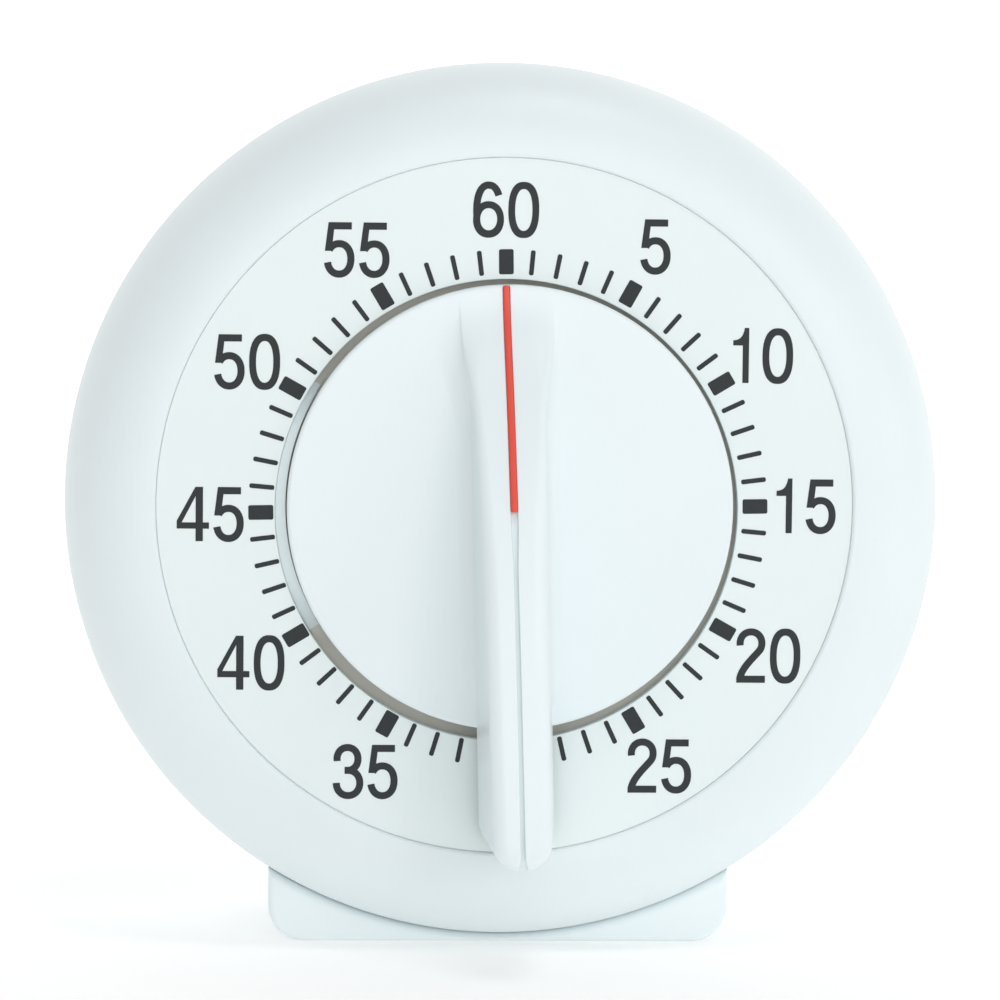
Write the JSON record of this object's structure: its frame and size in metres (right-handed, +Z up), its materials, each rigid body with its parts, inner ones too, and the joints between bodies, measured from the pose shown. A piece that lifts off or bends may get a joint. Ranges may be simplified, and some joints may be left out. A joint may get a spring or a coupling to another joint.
{
  "type": "lab timer",
  "caption": "Round wind-up bench timer: a finned knob turns over a printed minute dial and winds a spring-driven movement with a bell inside a case on a flat foot.",
  "frame": {"origin": "on the table, under the middle of the bounding box", "axes": "+Z up, the dial faces -Y, +X to the right of a person reading the dial"},
  "size_m": [0.1, 0.0536, 0.101],
  "materials": {
    "shell": "white moulded plastic, soft sheen",
    "dial": "white plate, dark grey-blue printing, satin",
    "knob": "white moulded plastic, soft sheen",
    "pointer": "red, satin",
    "spring_steel": "blued spring steel",
    "screws": "zinc plated",
    "plates": "zinc plated sheet",
    "steel": "turned bright steel",
    "brass": "stamped brass",
    "bell": "nickel plated",
    "washer": "red vulcanised fibre"
  },
  "bodies": {
    "case": {"front_housing": "shell", "rear_housing": "shell", "dial_plate": "dial", "case_screw_1": "screws", "case_screw_2": "screws", "case_screw_3": "screws", "movement_screw_1": "screws", "movement_screw_2": "screws", "movement_screw_3": "screws", "front_plate": "plates", "rear_plate": "plates", "pillar_1": "steel", "pillar_2": "steel", "pillar_3": "steel", "pillar_4": "steel", "mainspring": "spring_steel", "bell": "bell", "bell_washer": "washer", "bell_screw": "screws"},
    "knob": {"knob": "knob", "pointer_strip": "pointer", "knob_clip": "spring_steel", "main_arbor": "steel", "main_wheel": "brass", "clutch_spring": "spring_steel", "strike_cam": "brass"},
    "second_train": {"second_arbor": "steel", "second_wheel": "brass"},
    "third_train": {"third_arbor": "steel", "third_wheel": "brass"},
    "escape_train": {"escape_arbor": "steel", "escape_wheel": "brass"},
    "pallet": {"pallet_arbor": "steel", "pallet_lever": "steel", "pallet_weight": "brass"},
    "strike": {"strike_arbor": "steel", "strike_lever": "steel"},
    "hammer": {"hammer_arbor": "steel", "hammer_arm": "steel", "hammer_head": "brass", "hammer_lifter": "steel"}
  },
  "joints": [
    {"name": "knob_turn", "type": "hinge", "parent": "case", "child": "knob", "pos_m": [0.0005, 0, 0.051], "axis": [0, 1, 0], "range_deg": [0, 360]},
    {"name": "second_turn", "type": "hinge", "parent": "case", "child": "second_train", "pos_m": [-0.01405, 0, 0.0594], "axis": [0, 1, 0], "range_deg": [-2160, 0]},
    {"name": "third_turn", "type": "hinge", "parent": "case", "child": "third_train", "pos_m": [-0.019, 0, 0.0463], "axis": [0, 1, 0], "range_deg": [0, 12960]},
    {"name": "escape_turn", "type": "hinge", "parent": "case", "child": "escape_train", "pos_m": [-0.01744, 0, 0.03521], "axis": [0, 1, 0], "range_deg": [-77760, 0]},
    {"name": "pallet_swing", "type": "hinge", "parent": "case", "child": "pallet", "pos_m": [-0.0097, 0, 0.0296], "axis": [0, 1, 0], "range_deg": [-5, 5]},
    {"name": "strike_lift", "type": "hinge", "parent": "case", "child": "strike", "pos_m": [0.0195, 0, 0.061], "axis": [0, 1, 0], "range_deg": [0, 8]},
    {"name": "hammer_swing", "type": "hinge", "parent": "case", "child": "hammer", "pos_m": [0.0225, 0, 0.034], "axis": [0, 1, 0], "range_deg": [-1.2, 6], "stiffness_Nm_per_rad": 0.004}
  ],
  "couplings": [
    {"joint": "second_turn", "follows": "knob_turn", "ratio": -6},
    {"joint": "third_turn", "follows": "knob_turn", "ratio": 36},
    {"joint": "escape_turn", "follows": "knob_turn", "ratio": -216}
  ]
}
